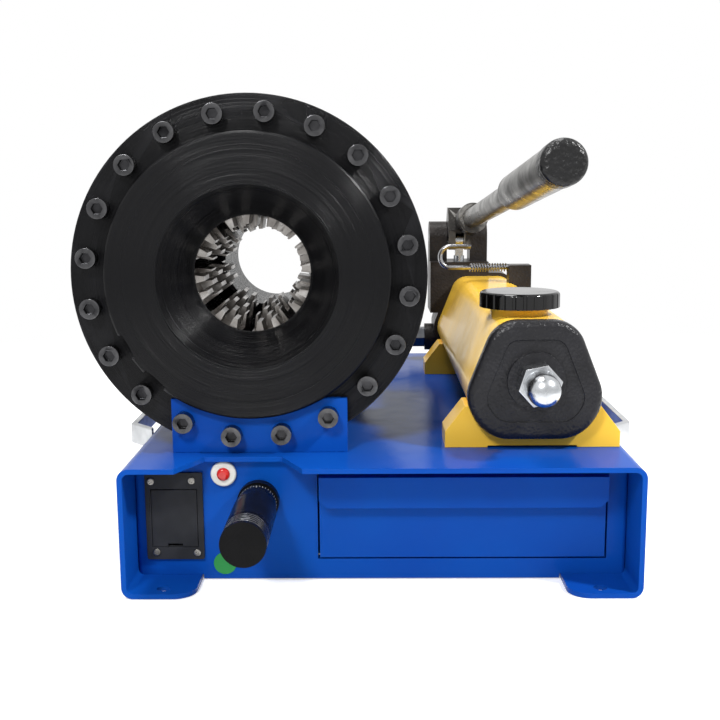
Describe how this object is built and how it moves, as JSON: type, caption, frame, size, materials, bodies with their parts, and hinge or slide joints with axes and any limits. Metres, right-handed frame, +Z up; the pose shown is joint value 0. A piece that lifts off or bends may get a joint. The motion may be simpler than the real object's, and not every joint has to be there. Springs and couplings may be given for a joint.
{
  "type": "hose crimping machine",
  "caption": "Bench hose crimper: sheet case with a drawer, round hydraulic head with radial dies closed by a coned ring piston, and a lever hand pump piped to it.",
  "frame": {"origin": "centre of the four foot bolt holes, on the plane the case stands on", "axes": "+Z up, +Y from the dial side to the rear, +X from the crimping head to the pump"},
  "size_m": [0.4663, 0.604, 0.3829],
  "materials": {
    "blue_paint": "gloss",
    "black_steel": "satin",
    "screw_steel": "satin",
    "machined_steel": "machined",
    "spring_steel": "polished",
    "seal_rubber": "matte",
    "black_plastic": "matte",
    "cell_shell": "satin",
    "white_plastic": "gloss",
    "red_lens": "gloss",
    "light_aluminium": "satin",
    "yellow_paint": "gloss",
    "black_casting": "grained",
    "bright_steel": "satin",
    "black_grip": "matte",
    "pipe_steel": "satin"
  },
  "bodies": {
    "frame": {"case_shell": "blue_paint", "front_panel": "blue_paint", "rear_panel": "blue_paint", "drawer_runner_left": "blue_paint", "drawer_runner_right": "blue_paint", "head_bracket_front": "blue_paint", "head_bracket_rear": "blue_paint", "cylinder_barrel": "black_steel", "front_cover": "black_steel", "rear_cover": "black_steel", "cover_screws": "screw_steel", "bracket_screws": "screw_steel", "rear_screws": "screw_steel", "battery_holder": "black_plastic", "battery": "cell_shell", "lamp_bezel": "white_plastic", "lamp_lens": "red_lens", "dial_sleeve": "black_plastic", "side_handle_left": "light_aluminium", "side_handle_right": "light_aluminium", "pump_tank": "yellow_paint", "pump_end_cap": "black_casting", "tie_rod": "bright_steel", "pump_foot_front": "yellow_paint", "pump_foot_rear": "yellow_paint", "foot_screws": "screw_steel", "pump_head": "black_steel", "pivot_pin": "bright_steel", "oil_pipe": "pipe_steel", "pipe_fittings": "pipe_steel", "hook_bracket": "black_steel"},
    "drawer": {"drawer": "blue_paint"},
    "piston": {"ring_piston": "machined_steel", "piston_seals": "seal_rubber"},
    "die_1": {"die_1": "machined_steel", "die_spring_1": "spring_steel"},
    "die_2": {"die_2": "machined_steel", "die_spring_2": "spring_steel"},
    "die_3": {"die_3": "machined_steel", "die_spring_3": "spring_steel"},
    "die_4": {"die_4": "machined_steel", "die_spring_4": "spring_steel"},
    "die_5": {"die_5": "machined_steel", "die_spring_5": "spring_steel"},
    "die_6": {"die_6": "machined_steel", "die_spring_6": "spring_steel"},
    "die_7": {"die_7": "machined_steel", "die_spring_7": "spring_steel"},
    "die_8": {"die_8": "machined_steel", "die_spring_8": "spring_steel"},
    "battery_lid": {"battery_lid": "black_plastic"},
    "dial": {"dial_thimble": "black_plastic"},
    "filler_cap": {"filler_cap": "black_casting"},
    "lever": {"lever_socket": "black_steel", "lever_tube": "bright_steel", "lever_grip": "bright_steel", "lever_plug": "black_grip"},
    "plunger": {"plunger": "bright_steel"},
    "release_knob": {"release_knob": "black_casting"},
    "hold_hook": {"hold_hook": "spring_steel"}
  },
  "joints": [
    {"name": "drawer_slide", "type": "slide", "parent": "frame", "child": "drawer", "axis": [0, -1, 0], "range_m": [0, 0.25]},
    {"name": "piston_slide", "type": "slide", "parent": "frame", "child": "piston", "axis": [0, -1, 0], "range_m": [0, 0.04]},
    {"name": "die_1_slide", "type": "slide", "parent": "frame", "child": "die_1", "axis": [-0.9677, 0, -0.2521], "range_m": [0, 0.00998]},
    {"name": "die_2_slide", "type": "slide", "parent": "frame", "child": "die_2", "axis": [-0.506, 0, -0.8625], "range_m": [0, 0.00998]},
    {"name": "die_3_slide", "type": "slide", "parent": "frame", "child": "die_3", "axis": [0.2521, 0, -0.9677], "range_m": [0, 0.00998]},
    {"name": "die_4_slide", "type": "slide", "parent": "frame", "child": "die_4", "axis": [0.8625, 0, -0.506], "range_m": [0, 0.00998]},
    {"name": "die_5_slide", "type": "slide", "parent": "frame", "child": "die_5", "axis": [0.9677, 0, 0.2521], "range_m": [0, 0.00998]},
    {"name": "die_6_slide", "type": "slide", "parent": "frame", "child": "die_6", "axis": [0.506, 0, 0.8625], "range_m": [0, 0.00998]},
    {"name": "die_7_slide", "type": "slide", "parent": "frame", "child": "die_7", "axis": [-0.2521, 0, 0.9677], "range_m": [0, 0.00998]},
    {"name": "die_8_slide", "type": "slide", "parent": "frame", "child": "die_8", "axis": [-0.8625, 0, 0.506], "range_m": [0, 0.00998]},
    {"name": "battery_lid_hinge", "type": "hinge", "parent": "frame", "child": "battery_lid", "pos_m": [-0.1646, -0.2295, 0.0746], "axis": [-1, 0, 0], "range_deg": [0, 95]},
    {"name": "dial_turn", "type": "hinge", "parent": "frame", "child": "dial", "pos_m": [-0.0973, -0.334, 0.066], "axis": [0, -1, 0], "continuous": true},
    {"name": "filler_cap_turn", "type": "hinge", "parent": "frame", "child": "filler_cap", "pos_m": [0.117, -0.157, 0.2115], "axis": [0, 0, 1], "continuous": true},
    {"name": "release_knob_turn", "type": "hinge", "parent": "frame", "child": "release_knob", "pos_m": [0.1865, 0.234, 0.13], "axis": [1, 0, 0], "continuous": true},
    {"name": "lever_hinge", "type": "hinge", "parent": "frame", "child": "lever", "pos_m": [0.096, 0.238, 0.25], "axis": [-1, 0, 0], "range_deg": [-4, 35]},
    {"name": "plunger_slide", "type": "slide", "parent": "frame", "child": "plunger", "axis": [0, 0, 1], "range_m": [-0.0022, 0.0177]},
    {"name": "hold_hook_hinge", "type": "hinge", "parent": "frame", "child": "hold_hook", "pos_m": [0.155, 0.125, 0.2217], "axis": [1, 0, 0], "range_deg": [0, 80], "stiffness_Nm_per_rad": 0.01}
  ],
  "couplings": [
    {"joint": "die_1_slide", "follows": "piston_slide", "ratio": 0.24933},
    {"joint": "die_2_slide", "follows": "piston_slide", "ratio": 0.24933},
    {"joint": "die_3_slide", "follows": "piston_slide", "ratio": 0.24933},
    {"joint": "die_4_slide", "follows": "piston_slide", "ratio": 0.24933},
    {"joint": "die_5_slide", "follows": "piston_slide", "ratio": 0.24933},
    {"joint": "die_6_slide", "follows": "piston_slide", "ratio": 0.24933},
    {"joint": "die_7_slide", "follows": "piston_slide", "ratio": 0.24933},
    {"joint": "die_8_slide", "follows": "piston_slide", "ratio": 0.24933},
    {"joint": "plunger_slide", "follows": "lever_hinge", "m_per_rad": 0.0287}
  ]
}
